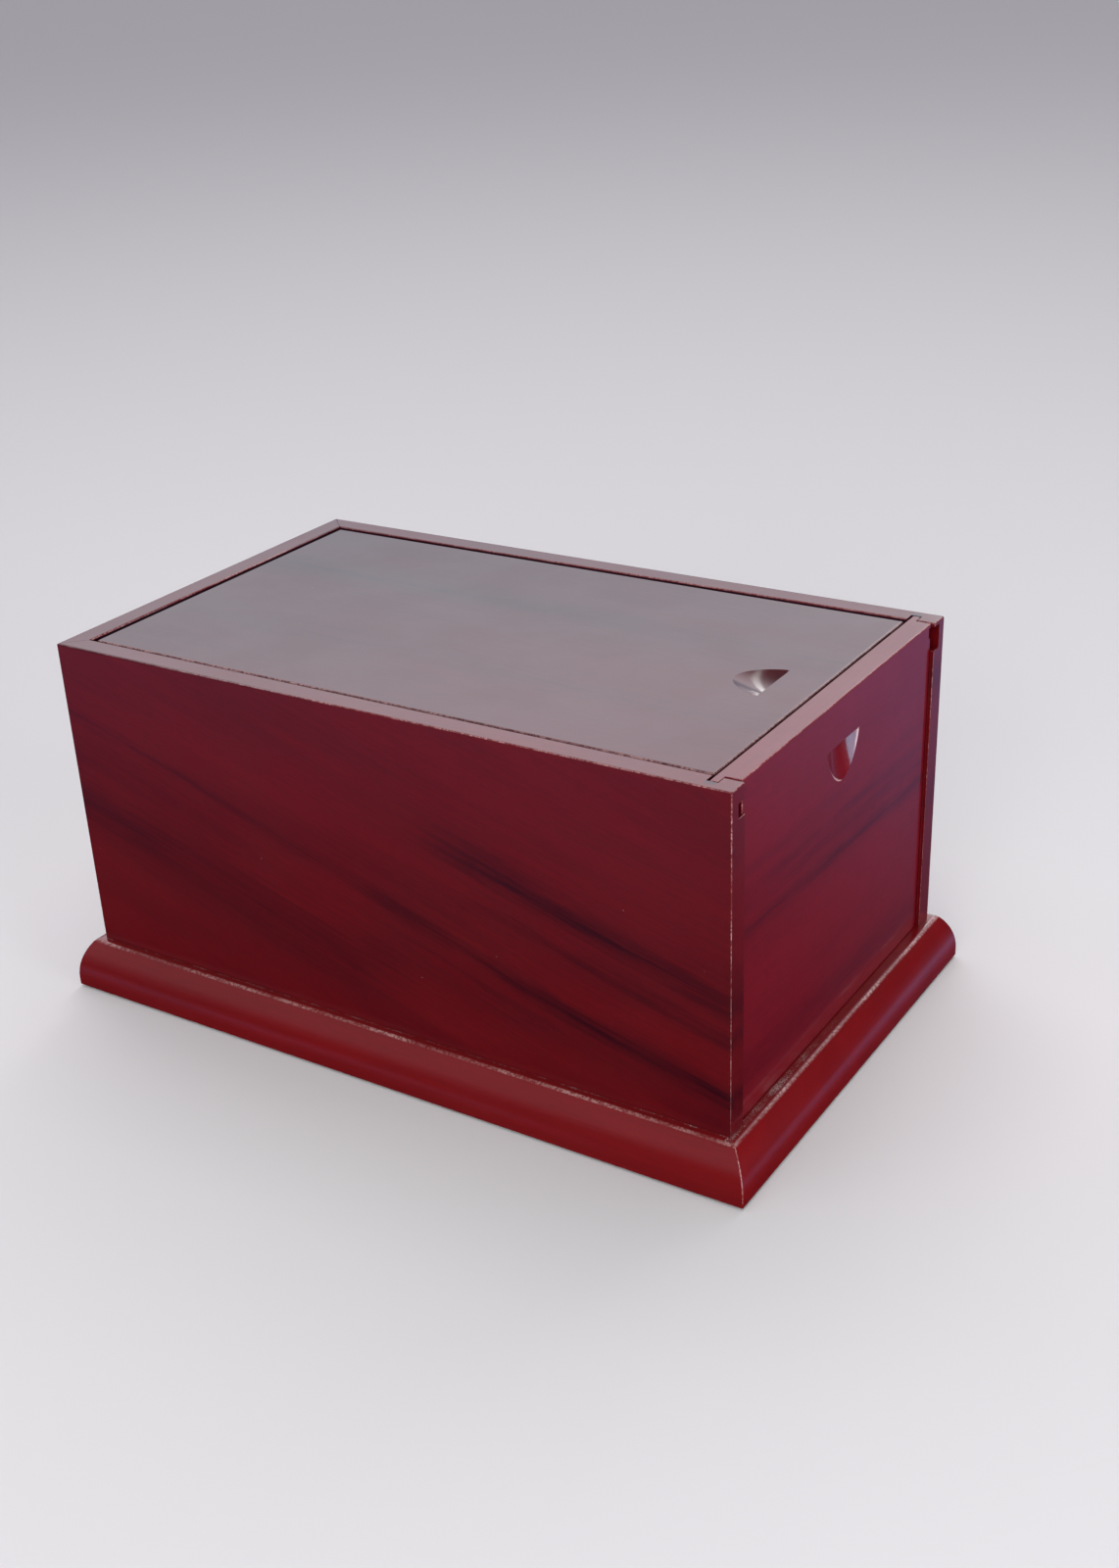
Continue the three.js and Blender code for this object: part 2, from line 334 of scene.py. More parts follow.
class Graph:
    """A shader tree that nodes are put into."""

    def __init__(self, tree: bpy.types.NodeTree) -> None:
        """Takes an empty tree."""
        self.tree = tree

    def put(self, kind: str, values: dict | None = None, **options: object) -> bpy.types.Node:
        """Adds a node.

        Args:
            kind: the node's type, without its ShaderNode prefix.
            values: for an input's name or number, the value or the socket that it takes.
            options: the node's own settings.

        Returns:
            The node.
        """
        node = self.tree.nodes.new("ShaderNode" + kind)
        for key, option in options.items():
            setattr(node, key, option)
        for key, value in (values or {}).items():
            if isinstance(value, Socket):
                self.tree.links.new(value, node.inputs[key])
            else:
                node.inputs[key].default_value = value
        return node

    def math(self, operation: str, *values: Socket | float, clamp: bool = False) -> Socket:
        """Works out a number from up to three others, kept from 0 to 1 if clamp is set."""
        return self.put("Math", dict(enumerate(values)), operation=operation, use_clamp=clamp).outputs[0]

    def times(self, *values: Socket | float) -> Socket:
        """Multiplies two or more numbers."""
        return reduce(lambda first, second: self.math("MULTIPLY", first, second), values)

    def mix(self, share: Socket | float, first: Socket | Colour, second: Socket | Colour,
            blend: str = "MIX") -> Socket:
        """Mixes two colours, or adds them if blend says so; share is how much of the second."""
        first, second = ((*side, 1.0) if isinstance(side, tuple) else side for side in (first, second))
        values = {0: share, 6: first, 7: second}
        return self.put("Mix", values, data_type="RGBA", blend_type=blend).outputs[2]

    def fade(self, value: Socket, low: float, high: float, to_low: float = 0.0,
             to_high: float = 1.0) -> Socket:
        """Changes smoothly from to_low to to_high as the value goes from low to high."""
        values = {0: value, 1: low, 2: high, 3: to_low, 4: to_high}
        return self.put("MapRange", values, interpolation_type="SMOOTHSTEP").outputs[0]

    def noise(self, where: Socket, scale: float, detail: float = 2.0, roughness: float = 0.5) -> Socket:
        """Cloudy noise from 0 to 1 about 0.5, with that many clouds to a unit."""
        values = {"Vector": where, "Scale": scale, "Detail": detail, "Roughness": roughness}
        return self.put("TexNoise", values).outputs[0]

    def drawn(self, where: Socket, scale: Colour, detail: float, roughness: float = 0.5) -> Socket:
        """Cloudy noise drawn out along the grain, with its own number of clouds to a unit on each axis."""
        return self.noise(self.stretched(where, scale), 1.0, detail, roughness)

    def stretched(self, where: Socket, scale: Colour) -> Socket:
        """Stretches a place by a factor on each axis."""
        return self.put("Mapping", {"Vector": where, "Scale": scale}).outputs[0]

    def parts(self, where: Socket) -> tuple[Socket, Socket, Socket]:
        """Splits a place into its three coordinates."""
        x, y, z = self.put("SeparateXYZ", {0: where}).outputs
        return x, y, z

    def bump(self, strength: float, distance: float, height: Socket) -> Socket:
        """Gives the normal of a surface that stands up by the height, times a distance in metres."""
        return self.put("Bump", {"Strength": strength, "Distance": distance, "Height": height}).outputs[0]


class Effect(Enum):
    """Shared effects, each one a node group that is built once."""

    FIGURE = "wood_figure"
    STREAK = "dark_streak"
    WEAR_AND_GLINT = "worn_arris"
    SKIN = "lacquer_skin"
    DUST = "settled_dust"

    def into(self, graph: Graph, **values: Socket | float) -> tuple[Socket, ...]:
        """Places the effect in a material, with its inputs' values by name, and gives its outputs."""
        group = bpy.data.node_groups.get(self.value) or _BUILDERS[self]()
        return tuple(graph.put("Group", values, node_tree=group).outputs)


def new_group(effect: Effect, *inputs: str) -> tuple[Graph, dict[str, Socket]]:
    """Starts a node group.

    Args:
        effect: the effect that it makes.
        inputs: the names of its inputs. The one that is called Place is a vector, in millimetres.

    Returns:
        The group's graph, and its inputs' sockets by name.
    """
    tree = bpy.data.node_groups.new(effect.value, "ShaderNodeTree")
    for label in inputs:
        kind = "NodeSocketVector" if label == "Place" else "NodeSocketFloat"
        tree.interface.new_socket(name=label, in_out="INPUT", socket_type=kind)
    return Graph(tree), dict(tree.nodes.new("NodeGroupInput").outputs.items())


def end_group(graph: Graph, **outputs: Socket) -> bpy.types.NodeTree:
    """Gives the group its outputs, which are all numbers, by name.

    Args:
        graph: the group's graph.
        outputs: the socket for each output.

    Returns:
        The finished group.
    """
    for label in outputs:
        graph.tree.interface.new_socket(name=label, in_out="OUTPUT", socket_type="NodeSocketFloat")
    node = graph.tree.nodes.new("NodeGroupOutput")
    for label, socket in outputs.items():
        graph.tree.links.new(socket, node.inputs[label])
    return graph.tree


def build_figure() -> bpy.types.NodeTree:
    """Wood figure: from a place with its grain along X, gives how far across the grain it is once the
    grain wanders, the fine fibres, the open pores and the broad mottling.

    Returns:
        The group.
    """
    graph, given = new_group(Effect.FIGURE, "Place", "Wander")
    place, wander = given["Place"], given["Wander"]
    wave = graph.math("SUBTRACT", graph.drawn(place, (0.007, 0.008, 0.008), 1.0), 0.5)
    ripple = graph.math("SUBTRACT", graph.drawn(place, (0.05, 0.1, 0.1), 3.0), 0.5)
    x, y, z = graph.parts(place)
    drift = graph.math("MULTIPLY_ADD", wave, wander, y)
    bent = graph.put("CombineXYZ", {0: x, 1: drift, 2: z}).outputs[0]
    return end_group(graph,
                     Across=graph.math("MULTIPLY_ADD", graph.times(ripple, 0.35), wander, drift),
                     Fibre=graph.drawn(bent, (0.03, 0.9, 0.9), 4.0, 0.65),
                     Pore=graph.fade(graph.drawn(bent, (0.22, 3.2, 3.2), 1.0), 0.57, 0.70),
                     Mottle=graph.drawn(bent, (0.009, 0.06, 0.06), 4.0, 0.6))


def build_streak() -> bpy.types.NodeTree:
    """One dark streak: depth x exp(-((across - middle) / width)^2), between two ends 30 mm soft.

    Returns:
        The group.
    """
    graph, given = new_group(Effect.STREAK, "Along", "Across", "Middle", "Width", "Depth", "Begin", "End")
    soft = 30.0
    inside = [graph.math("DIVIDE", graph.math("SUBTRACT", given[more], given[less]), soft, clamp=True)
              for more, less in (("Along", "Begin"), ("End", "Along"))]
    off = graph.math("DIVIDE", graph.math("SUBTRACT", given["Across"], given["Middle"]), given["Width"])
    bell = graph.math("EXPONENT", graph.times(graph.times(off, off), -1.0))
    ends = graph.fade(graph.times(*inside), 0.0, 1.0)
    return end_group(graph, Shade=graph.times(bell, ends, given["Depth"]))


def build_wear() -> bpy.types.NodeTree:
    """Worn arris: the crest of an eased edge, rubbed through in patches along it. A crest past 1 is a
    painted highlight all along.

    Returns:
        The group.
    """
    graph, given = new_group(Effect.WEAR_AND_GLINT, "Place", "Crest", "Amount")
    patch = graph.fade(graph.noise(given["Place"], 0.06, 3.0, 0.6), 0.35, 0.65, 0.25, 1.0)
    nibble = graph.fade(graph.noise(given["Place"], 1.1, 2.0, 0.6), 0.40, 0.60, 0.15, 1.0)
    crest = graph.fade(given["Crest"], 0.35, 0.95)
    worn = graph.math("MULTIPLY", graph.times(patch, nibble, crest), given["Amount"], clamp=True)
    # past a crest of 1 the mask gives a painted highlight rather than wear
    return end_group(graph, Worn=graph.math("MAXIMUM", worn, graph.fade(given["Crest"], 1.1, 1.9)))


def build_skin() -> bpy.types.NodeTree:
    """Lacquer skin: how far its sheen changes with handling, a fine unevenness, and stray specks.

    Returns:
        The group.
    """
    graph, given = new_group(Effect.SKIN, "Place")
    place = given["Place"]
    cells = graph.put("TexVoronoi", {"Vector": place, "Scale": 0.11, "Randomness": 1.0})
    chosen = graph.fade(graph.parts(cells.outputs["Color"])[0], 0.62, 0.66)
    return end_group(graph,
                     Handled=graph.fade(graph.noise(place, 0.03, 3.0, 0.55), 0.3, 0.7, -0.02, 0.08),
                     Height=graph.noise(place, 0.4, 1.0),
                     Speck=graph.times(graph.fade(cells.outputs["Distance"], 0.026, 0.012), chosen))


def build_dust() -> bpy.types.NodeTree:
    """Settled dust: crumbs and a film where the mask says that dust gathers.

    Returns:
        The group.
    """
    graph, given = new_group(Effect.DUST, "Place", "Where")
    crumbs = graph.noise(given["Place"], 3.2, 3.0, 0.75)
    patches = graph.noise(given["Place"], 0.12, 3.0, 0.6)
    load = graph.math("MULTIPLY_ADD", graph.math("SUBTRACT", patches, 0.5), 0.5, crumbs)
    limit = graph.fade(given["Where"], 0.0, 1.0, 0.85, 0.50)
    dust = graph.times(graph.fade(graph.math("SUBTRACT", load, limit), 0.0, 0.16),
                       graph.fade(given["Where"], 0.0, 0.2))
    return end_group(graph, Dust=dust, Height=graph.times(dust, crumbs))


_BUILDERS = dict(zip(Effect, (build_figure, build_streak, build_wear, build_skin, build_dust)))


# ---- finishes ----


@dataclass(frozen=True)
class Finish:
    """A finish: a procedural material with one Principled shader."""

    name: str

    def made(self) -> bpy.types.Material:
        """Builds the material.

        Returns:
            The material.
        """
        material = bpy.data.materials.new(self.name)
        material.use_nodes = True
        material.node_tree.nodes.clear()
        graph = Graph(material.node_tree)
        place = graph.stretched(graph.put("TexCoord").outputs["Object"], (1 / MM,) * 3)
        shader = graph.put("BsdfPrincipled", self.surface(graph, place))
        graph.put("OutputMaterial", {"Surface": shader.outputs[0]})
        return material

    def surface(self, graph: Graph, place: Socket) -> dict[str, object]:
        """Gives the shader's values by name, from the place on the box in millimetres."""
        raise NotImplementedError


class Lie(Enum):
    """How a board lies: which of the box's axes run along, up and through its face."""

    SIDE = ((1, 0, 0), (0, 0, 1), (0, -1, 0))
    END = ((0, 1, 0), (0, 0, 1), (1, 0, 0))
    FLAT = ((1, 0, 0), (0, 1, 0), (0, 0, 1))


@dataclass(frozen=True)
class Streak:
    """One dark streak: its height on the board's middle line, half width, strength and two ends."""

    height: float
    width: float
    depth: float
    begin: float = -300.0
    end: float = 300.0


@dataclass(frozen=True)
class LacqueredWood(Finish):
    """Stained and lacquered hardwood for one board."""

    lie: Lie
    light: Colour                    # between the streaks
    dark: Colour                     # in the streaks and pores
    wander: float                    # how far the grain wanders, in millimetres
    seed: float                      # shift of the pattern, so that no two boards are the same
    tilt: float = 0.0                # fall of the grain along the board, in degrees
    streaks: tuple[Streak, ...] = ()
    mottle: float = 0.25             # how strong the broad mottling is
    worn: float = 0.8                # how far the arrises are rubbed
    sheen: float = 0.32              # the lacquer's roughness
    dusty: bool = False              # whether dust gathers on the ledge

    def turned(self) -> Euler:
        """Gives the turn that lays the board's grain along X and its face in XY."""
        return (Matrix.Rotation(math.radians(self.tilt), 3, "Z") @ Matrix(self.lie.value)).to_euler()

    def wood(self, graph: Graph, place: Socket) -> Socket:
        """Gives the stained wood's colour, from its streaks, mottling, fibres and pores.

        Args:
            graph: the material's graph.
            place: the place in millimetres.

        Returns:
            The colour's socket.
        """
        shifted = graph.put("Mapping", {"Vector": place, "Location": (0.0, 0.0, self.seed),
                                        "Rotation": self.turned()}).outputs[0]
        across, fibre, pore, mottle = Effect.FIGURE.into(graph, Place=shifted, Wander=self.wander)
        along = graph.parts(shifted)[0]
        broken = graph.math("ADD", graph.fade(fibre, 0.3, 0.7, 0.25, 0.75),
                            graph.fade(mottle, 0.3, 0.7, 0.3, 0.6))
        shade = graph.fade(mottle, 0.3, 0.7, 0.0, self.mottle)
        for streak in self.streaks:
            middle = streak.height * math.cos(math.radians(self.tilt))
            bell = Effect.STREAK.into(graph, Along=along, Across=across, Middle=middle, Width=streak.width,
                                      Depth=streak.depth, Begin=streak.begin, End=streak.end)[0]
            shade = graph.math("MULTIPLY_ADD", bell, broken, shade)
        shade = graph.math("ADD", shade, graph.fade(fibre, 0.3, 0.7, -0.10, 0.10), clamp=True)
        return graph.mix(graph.times(pore, 0.22), graph.mix(shade, self.light, self.dark), self.dark)

    def surface(self, graph: Graph, place: Socket) -> dict[str, object]:
        """Gives the shader's values: the wood, what marks its surface, painted groove shade and painted
        scoop highlights, and the clear coat.

        Args:
            graph: the material's graph.
            place: the place in millimetres.

        Returns:
            The values by name.
        """
        # arris: wear crest, past 1 a painted highlight on a scoop's edge, -1 painted shade in grooves and
        # gaps
        crest = graph.put("Attribute", attribute_name="arris").outputs["Fac"]
        # worn is real wear on the arrises and, past a crest of 1, the scoop's painted highlights
        worn = Effect.WEAR_AND_GLINT.into(graph, Place=place, Crest=crest, Amount=self.worn)[0]
        handled, height, speck = Effect.SKIN.into(graph, Place=place)
        # points whose arris value is -1 take the painted groove shade
        colour = graph.mix(graph.fade(crest, -0.2, -0.8), self.wood(graph, place), GROOVE_PAINTED_SHADE)
        colour = graph.mix(worn, colour, BARE_EDGE_AND_GLINT)
        colour = graph.mix(graph.times(speck, 0.5), colour, SPECK)
        roughness = graph.math("ADD", self.sheen, handled)
        coat = 1.0
        if self.dusty:
            dust, crumbs = Effect.DUST.into(graph, Place=place, Where=self.ledge(graph, place))
            colour = graph.mix(graph.times(dust, 0.75), colour, DUST)
            roughness = graph.math("MULTIPLY_ADD", dust, 0.4, roughness)
            height = graph.math("MULTIPLY_ADD", crumbs, 6.0, height)
            coat = graph.times(graph.math("SUBTRACT", 1.0, dust, clamp=True),
                               graph.fade(graph.parts(place)[2], 5.0, 9.5, 0.3, 1.0))
        return {"Base Color": colour, "Roughness": roughness, "IOR": 1.5, "Specular IOR Level": 0.2,
                "Coat Weight": coat, "Coat Roughness": 0.1, "Coat IOR": 1.5,
                "Normal": graph.bump(0.12, 0.00008, height)}

    @staticmethod
    def ledge(graph: Graph, place: Socket) -> Socket:
        """Says where dust gathers: on the flat ledge, most at the walls' foot and before the rising board.

        Args:
            graph: the material's graph.
            place: the place in millimetres.

        Returns:
            The mask's socket.
        """
        end, side, top = 125.0, -75.0, 17.9
        x, y, z = graph.parts(place)
        front = graph.times(graph.fade(x, end - 2.0, end - 0.5), graph.fade(x, end + 3.0, end + 0.5),
                            graph.fade(y, 30.0, -55.0, 0.45, 1.0))
        foot = graph.times(graph.fade(y, side - 1.3, side - 0.2), graph.fade(y, side + 1.0, side), 0.75)
        return graph.times(graph.math("MAXIMUM", front, foot), graph.fade(z, top - 0.3, top + 0.05))


@dataclass(frozen=True)
class Felt(Finish):
    """Pressed wool felt, with fibres in its colour and bump."""

    colour: Colour
    shadow: Colour

    def surface(self, graph: Graph, place: Socket) -> dict[str, object]:
        """Gives the shader's values: matted hairs and fluff with a soft sheen.

        Args:
            graph: the material's graph.
            place: the place in millimetres.

        Returns:
            The values by name.
        """
        swirl = graph.noise(place, 0.35, 2.0)
        swirled = graph.put("CombineXYZ", {0: swirl, 1: swirl}).outputs[0]
        bent = graph.put("VectorMath", {0: place, 1: swirled}, operation="MULTIPLY").outputs[0]
        hairs = graph.drawn(bent, (2.4, 0.8, 1.0), 5.0, 0.75)
        load = graph.math("MULTIPLY_ADD", hairs, 0.6, graph.times(graph.noise(place, 0.9, 5.0, 0.8), 0.4))
        return {"Base Color": graph.mix(graph.fade(load, 0.35, 0.62), self.shadow, self.colour),
                "Roughness": 0.95, "IOR": 1.4, "Sheen Weight": 0.4, "Sheen Roughness": 0.6,
                "Normal": graph.bump(0.7, 0.0002, load)}


@dataclass(frozen=True)
class ZincedSteel(Finish):
    """Zinc-plated steel, faintly mottled and rubbed by the driver."""

    cool: Colour = (0.50, 0.50, 0.53)
    warm: Colour = (0.66, 0.65, 0.60)

    def surface(self, graph: Graph, place: Socket) -> dict[str, object]:
        """Gives the shader's values: spangled and brushed plating.

        Args:
            graph: the material's graph.
            place: the place in millimetres.

        Returns:
            The values by name.
        """
        spangle = graph.noise(place, 0.9, 4.0, 0.6)
        brushed = graph.drawn(place, (1.0, 1.0, 9.0), 3.0)
        return {"Base Color": graph.mix(graph.fade(spangle, 0.35, 0.65), self.cool, self.warm),
                "Metallic": 1.0,
                "Roughness": graph.math("MULTIPLY_ADD", spangle, 0.25, graph.times(brushed, 0.25)),
                "Normal": graph.bump(0.15, 0.00004, brushed)}


# ---- the box ----


def node_box(node: str) -> np.ndarray:
    """Gives a frame node's lowest and highest corner, (2, 3), in millimetres."""
    return np.array([list(corner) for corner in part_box(node)]) / MM


@dataclass(frozen=True)
class ThumbScoop:
    """A hollow that a thumb pushes in: a straight wall across it, and a floor that rises to the surface.

    At a share s of the reach and a share t of the way across, its half width is
    half_width sqrt(1 - s^curve), and its depth is depth (1 - s^curve) (1 - t^2). Its edge can carry
    painted highlights: a crescent on the minus side, most towards the tip, and a glint on the plus side
    near the straight wall.
    """

    half_width: float = 11.3
    reach: float = 13.0
    depth: float = 3.3
    curve: float = 1.4
    # strength of the painted highlights on the scoop's edge
    rubbed: float = 0.0
    rows: int = 36
    columns: int = 48

    def floor(self) -> np.ndarray:
        """Works out the hollow's floor.

        Returns:
            (rows, columns, 3) points: along from the wall, across, and depth.
        """
        s = 1 - (1 - np.linspace(0.0, 1.0, self.rows)[:, None]) ** 2
        t = np.sin(np.linspace(-1.0, 1.0, self.columns + 1) * math.pi / 2)[None, :]
        rise = 1 - s ** self.curve
        across = t * self.half_width * np.sqrt(rise)
        return in_space(s * self.reach, across, self.depth * rise * (1 - t ** 2))

    def wall(self) -> np.ndarray:
        """Gives the straight wall, (2, columns, 3), from the surface down to the floor."""
        foot = self.floor()[0]
        return np.stack([foot * (1, 1, 0), foot])

    def rims(self) -> tuple[np.ndarray, np.ndarray]:
        """Works out the hollow's edge on the surface.

        Returns:
            The edge on the minus side and on the plus side, each from the middle of the straight wall,
            along it and round to the tip.
        """
        floor = self.floor() * (1, 1, 0)
        half = self.columns // 2
        minus = np.concatenate([floor[0, half::-1], floor[1:, 0]])
        plus = np.concatenate([floor[0, half:], floor[1:, -1]])
        return minus, plus


def hollowed(solid: Solid, scoop: ThumbScoop, frame: np.ndarray, corner: np.ndarray, minus: np.ndarray,
             plus: np.ndarray) -> None:
    """Adds a flat face with a scoop in it, as two halves that meet on the scoop's middle line.

    Args:
        solid: the solid that gets them.
        scoop: the scoop.
        frame: (3, 3) directions in space of along, across and depth.
        corner: the middle of the scoop's straight wall.
        minus: (n, 3) edge of the half on the minus side, from the end before the straight wall, round to
            the end past the tip.
        plus: the same for the other half.
    """
    def put(points: np.ndarray) -> np.ndarray:
        """Moves points from the scoop's own directions into space."""
        return corner + points @ frame

    rim = np.zeros((scoop.rows, scoop.columns + 1))
    rim[:, [0, -1]] = 0.8
    across = np.arange(scoop.columns + 1)[None, :]
    toward_tip = np.linspace(0.0, 1.0, scoop.rows)[:, None]
    # painted highlights: a crescent on the minus edge towards the tip and a glint on the plus edge by the
    # wall; past 1 they show the pale edge colour all along
    crescent = np.clip(0.7 * (20 * toward_tip - across), 0, 2)
    glint = np.clip(0.7 * (7 - across[:, ::-1]), 0, 2) * np.clip(1.8 - 4 * toward_tip, 0, 1)
    rim = np.maximum(rim, scoop.rubbed * np.maximum(crescent, glint))
    solid.grid(put(scoop.floor()), rim)
    solid.grid(put(scoop.wall()), np.array([[0.8], [0.0]]), curved=False)
    for edge, rim in zip((minus, plus), scoop.rims()):
        solid.plane(np.concatenate([edge, put(rim)[::-1]]))


@dataclass(frozen=True)
class BaseBoard:
    """The base: a flat ledge round the walls and an edge rounded over down to an upright band.

    The rounding is the arc of a circle that starts upright on the band and ends at the ledge: with run and
    rise its size sideways and upwards, its radius is (run^2 + rise^2) / (2 run).
    """

    finish: LacqueredWood
    ledge: float = 2.75
    band: float = 3.0
    easing: float = 0.6
    nose: float = 1.2
    corner: float = 0.4
    facets: int = 40

    def profile(self, overhang: float, low: float, high: float) -> tuple[np.ndarray, np.ndarray]:
        """Works out the edge's profile, from the underside to the ledge.

        Args:
            overhang: how far the base stands out beyond the walls.
            low: height of the underside.
            high: height of the ledge.

        Returns:
            (n, 2) overhang and height, and (n,) 1 on the crest of an eased edge.
        """
        foot = np.stack([overhang - self.easing * EARLY, low + self.easing * LATE], 1)
        run, rise = overhang - self.ledge, high - low - self.band
        radius = (run ** 2 + rise ** 2) / (2 * run)
        stop = math.asin(rise / radius) - self.nose / radius
        turn = np.linspace(0.0, stop, self.facets)
        arc = np.stack([overhang - radius * (1 - np.cos(turn)), low + self.band + radius * np.sin(turn)], 1)
        share = np.linspace(0.0, 1.0, STEPS + 1)[1:, None]
        tip, back = np.array([self.ledge, high]), np.array([self.ledge - self.nose, high])
        nose = (1 - share) ** 2 * arc[-1] + 2 * share * (1 - share) * tip + share ** 2 * back
        crest = np.concatenate([0.4 * CREST, np.zeros(len(arc)), np.sin(math.pi * share[:, 0])])
        return np.concatenate([foot, arc, nose]), crest

    def build(self) -> bpy.types.Object:
        """Makes the base: its edge profile carried round the rectangle of the walls.

        Returns:
            The piece.
        """
        low, high = node_box("base_board")
        walls = node_box("near_side_wall")
        overhang = high[0] - walls[1, 0]
        profile, crest = self.profile(overhang, low[2], high[2])
        plan = rectangle(-high, high, self.corner)
        inward = overhang - profile[:, 0]
        toward = np.sign(plan.points)
        spread = plan.points[None] - toward[None] * inward[:, None, None]
        points = in_space(spread[..., 0], spread[..., 1], profile[:, 1][:, None])
        steep = np.clip((profile[:, 1] - low[2]) / self.band, 0, 1)[:, None]
        arris = np.maximum(crest[:, None], plan.arris[None] * steep)
        solid = Solid()
        solid.grid(points, arris, closed=True)
        solid.plane(points[0])
        solid.plane(points[-1])
        return solid.made("rounded_base", Body.CASE, "base_board", self.finish, "base_board")


@dataclass(frozen=True)
class Walls:
    """The two side boards and the closed end, mitred together, with the grooves of lid and rising board."""

    near: LacqueredWood
    far: LacqueredWood
    closed: LacqueredWood
    foot_gap: float = 0.02
    joint: float = 0.02
    arris: float = 0.5
    mouth: float = 0.25
    groove_depth: float = 3.9
    groove_top: float = 5.0
    groove_height: float = 4.5
    lip: float = 6.15
    upright_width: float = 3.7
    notch_top: float = 1.2

    def outline(self, inner: float, outer: float, foot: float, rim: float, waist: bool) -> Outline:
        """Gives a wall's section: distance out from the middle of the box, and height.

        Args:
            inner: how far out the inner face is.
            outer: how far out the outer face is.
            foot: height of its foot.
            rim: height of its rim.
            waist: whether the rim has a point above the back of the groove.

        Returns:
            The outline, with the lid's groove in its inner face.
        """
        back = inner + self.groove_depth
        top = rim - self.groove_top
        low = top - self.groove_height
        above = [(back, rim, 0.0)] if waist else []
        corners = [(outer, foot, 0.15), (outer, rim, self.arris), *above, (inner, rim, self.arris),
                   (inner, top, self.mouth), (back, top, 0.1), (back, low, 0.1), (inner, low, self.mouth),
                   (inner, foot, 0.1)]
        return eased(corners)

    def groove_shaded(self, out: np.ndarray, height: np.ndarray, inner: float, rim: float) -> np.ndarray:
        """Says which points lie in the lid's groove or in the gap above it, where shade is painted dark."""
        low = rim - self.groove_top - self.groove_height - 0.8 * self.mouth
        return (out < inner + self.groove_depth + 0.01) & (height > low) & (height < rim - 0.9 * self.arris)

    def side(self, node: str, name: str, finish: LacqueredWood, notched: bool) -> bpy.types.Object:
        """Makes a side board: its section carried along X, cut away in the upright groove.

        Args:
            node: the frame's node that it stands for.
            name: the piece's name.
            finish: its finish.
            notched: whether the lip has the open notch at its top.

        Returns:
            The piece.
        """
        low, high = node_box(node)
        way = 1.0 if high[1] > 0 else -1.0
        inner, outer = sorted((abs(low[1]), abs(high[1])))
        foot = node_box("base_board")[1, 2] + self.foot_gap
        outline = self.outline(inner, outer, foot, high[2], waist=True)
        front = high[0] - self.lip
        back = front - self.upright_width
        rising, easing = self.mouth * (1 - EARLY), self.mouth * LATE
        depth = self.groove_depth
        stations = np.concatenate([[0.0], back - self.mouth + rising, [back, front],
                                   front + self.mouth - rising[::-1]])
        cut = np.concatenate([[0.0], easing, [depth, depth], easing[::-1]])
        run = carried(outline, low[0], high[0], (0.0, self.arris), stations)
        cuts = np.concatenate([np.zeros(STEPS + 1), cut, np.zeros(STEPS + 1)])[:, None]
        out = np.maximum(run.section[..., 0], inner + cuts)
        height = run.section[..., 1].copy()
        along = run.along.copy()
        if notched:
            over = np.isin(outline.corner, (4, 5))[None] & (along > front - 0.01)
            height += over * (self.groove_top - self.notch_top)
        along[:STEPS + 1] += (outer - out[:STEPS + 1]) + self.joint
        # painted shade in the lid's groove, the gap above it and the upright groove's inner side, not on the
        # lip
        groove_shaded = self.groove_shaded(out, height, inner, high[2]) | ((cuts > 1.0) & (out < outer - 1.0))
        groove_shaded &= along < front + 0.1
        solid = Solid()
        solid.run(run.marked(groove_shaded), in_space(along, way * out, height))
        return solid.made(name, Body.CASE, "side_boards", finish, node)

    def end(self) -> bpy.types.Object:
        """Makes the closed end: its section carried along Y between the two mitres.

        Returns:
            The piece.
        """
        low, high = node_box("closed_end_wall")
        half = node_box("far_side_wall")[1, 1]
        foot = node_box("base_board")[1, 2] + self.foot_gap
        outline = self.outline(-high[0], -low[0], foot, high[2], waist=False)
        run = carried(outline, -half, half, (0.0, 0.0), [0.0])
        out = run.section[..., 0]
        reach = half - (-low[0] - out) - self.joint
        points = in_space(-out, np.sign(run.along) * reach, run.section[..., 1])
        solid = Solid()
        solid.run(run.marked(self.groove_shaded(out, run.section[..., 1], -high[0], high[2])), points)
        return solid.made("closed_end_board", Body.CASE, "side_boards", self.closed, "closed_end_wall")

    def build(self) -> list[bpy.types.Object]:
        """Makes the three walls."""
        near = self.side("near_side_wall", "near_side_board", self.near, notched=False)
        far = self.side("far_side_wall", "far_side_board", self.far, notched=True)
        return [near, far, self.end()]


